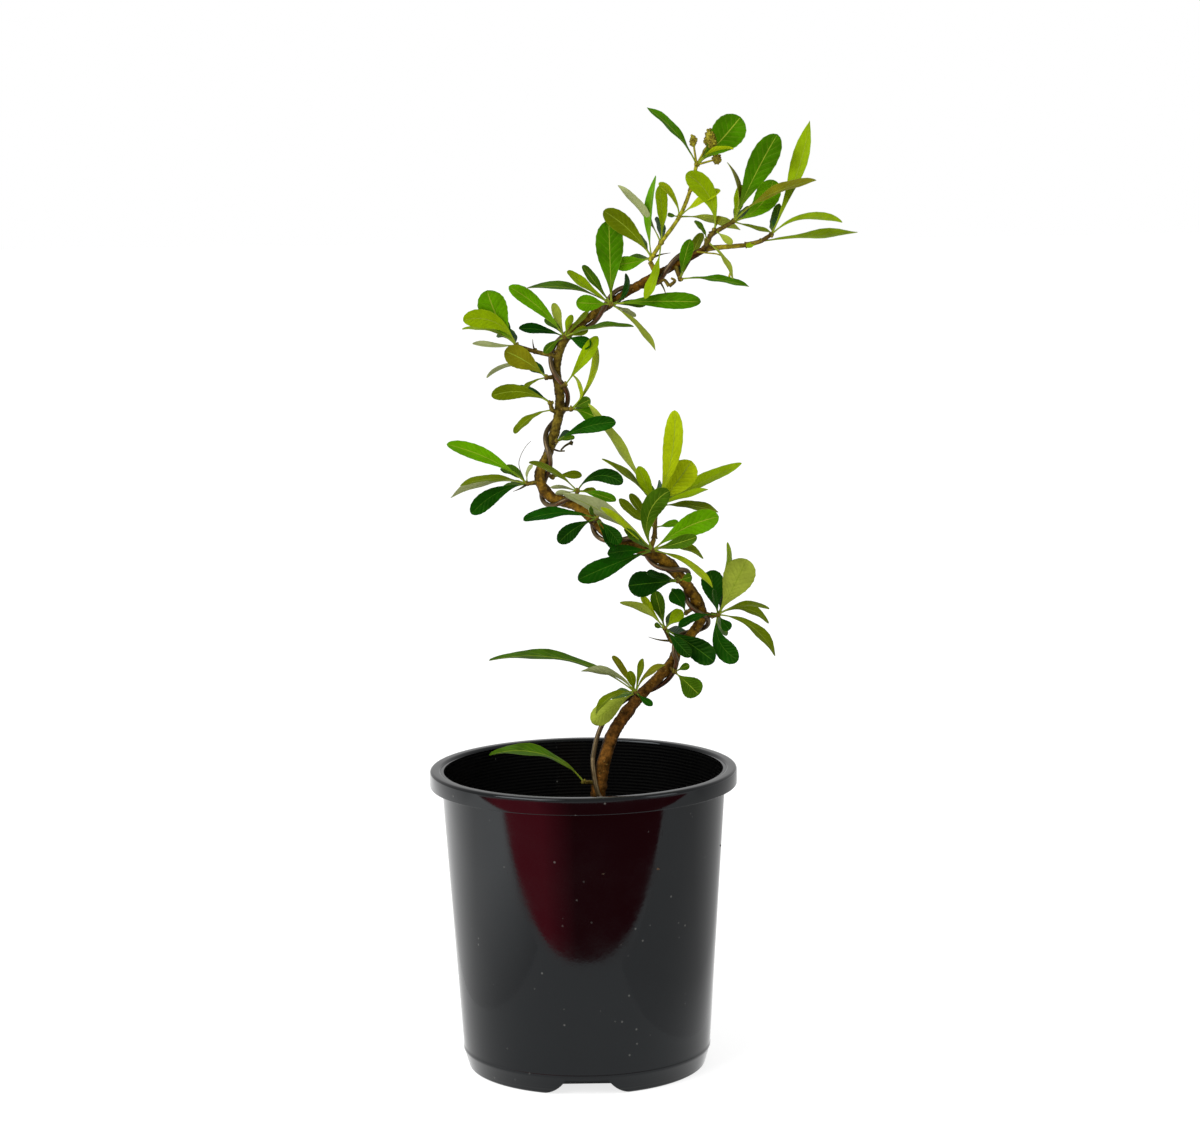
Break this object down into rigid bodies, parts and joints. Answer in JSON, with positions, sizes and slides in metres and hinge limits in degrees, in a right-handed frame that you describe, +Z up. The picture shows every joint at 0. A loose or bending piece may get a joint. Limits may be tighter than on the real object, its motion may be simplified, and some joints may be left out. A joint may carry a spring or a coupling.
{
  "type": "potted chinese firethorn",
  "caption": "Young firethorn in a round nursery pot, its thin trunk wound with training wire into loops, with loose clusters of long narrow leaves.",
  "frame": {"origin": "centre of the pot's flat underside, on the surface it stands on", "axes": "+Z up, -Y towards the viewer of the picture, +X to the viewer's right, where the trunk leans"},
  "size_m": [0.2358, 0.168, 0.5233],
  "materials": {
    "pot": "smooth black moulded plastic with a low shine and a little dust",
    "soil": "moist bark potting mix",
    "bark": "thin reddish brown bark, greyer and olive higher up",
    "shoot": "young green and brown stems",
    "wire": "bronze anodised training wire",
    "leaves": "leathery leaves, dark and bright green, with yellow green young ones"
  },
  "bodies": {
    "root": {"pot": "pot", "soil": "soil", "trunk": "bark", "training_wire": "wire", "bough_centre": "shoot", "bough_right_spur": "shoot", "bough_flower_shoot": "shoot", "bough_upright_shoot": "shoot", "bough_right_shoot": "shoot", "leaf_over_rim": "leaves", "leaves_low_left": "leaves", "leaves_low_right": "leaves", "leaves_yellow_spur": "leaves", "leaf_right_bend": "leaves", "leaves_right_spur": "leaves", "leaves_centre_shoot": "leaves", "leaves_centre_front": "leaves", "leaves_right_arch": "leaves", "leaves_under_bend": "leaves", "leaves_mid_spur": "leaves", "leaf_low_bend": "leaves", "leaves_left_spur": "leaves", "leaves_neck_low_left": "leaves", "leaves_neck_high_left": "leaves", "leaves_neck_right": "leaves", "leaf_neck_right": "leaves", "leaves_neck_front": "leaves", "leaves_upper_left": "leaves", "leaves_elbow": "leaves", "leaves_upper_arch": "leaves", "leaves_flower_shoot": "leaves", "leaves_trunk_top": "leaves", "leaves_trunk_tip": "leaves", "leaves_upright_shoot": "leaves", "leaves_right_shoot": "leaves"}
  },
  "joints": []
}
